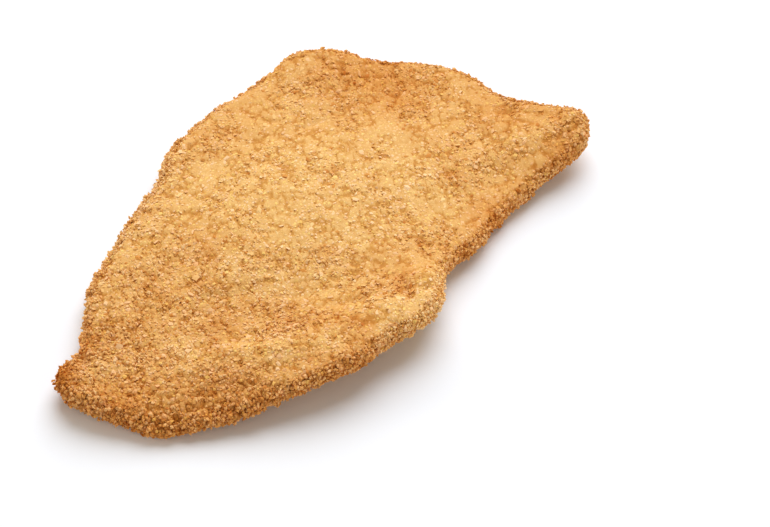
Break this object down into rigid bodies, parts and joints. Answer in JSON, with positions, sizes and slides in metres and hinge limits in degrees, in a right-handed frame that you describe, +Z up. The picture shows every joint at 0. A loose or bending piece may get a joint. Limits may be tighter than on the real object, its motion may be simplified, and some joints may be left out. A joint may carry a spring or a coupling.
{
  "type": "schnitzel",
  "caption": "Flat breaded schnitzel with a rounded rim, low swells and slightly curled edges, coated all over in fine golden crumbs.",
  "frame": {"origin": "on the surface the schnitzel lies on, under the middle of its bounding box", "axes": "+X along the schnitzel from its narrow end to its broad end, +Z up, out of the shown side"},
  "size_m": [0.1906, 0.1168, 0.0168],
  "materials": {
    "crumb_crust": "matte golden brown coat of fine breadcrumbs, browner at the rim"
  },
  "bodies": {
    "root": {"schnitzel": "crumb_crust"}
  },
  "joints": []
}
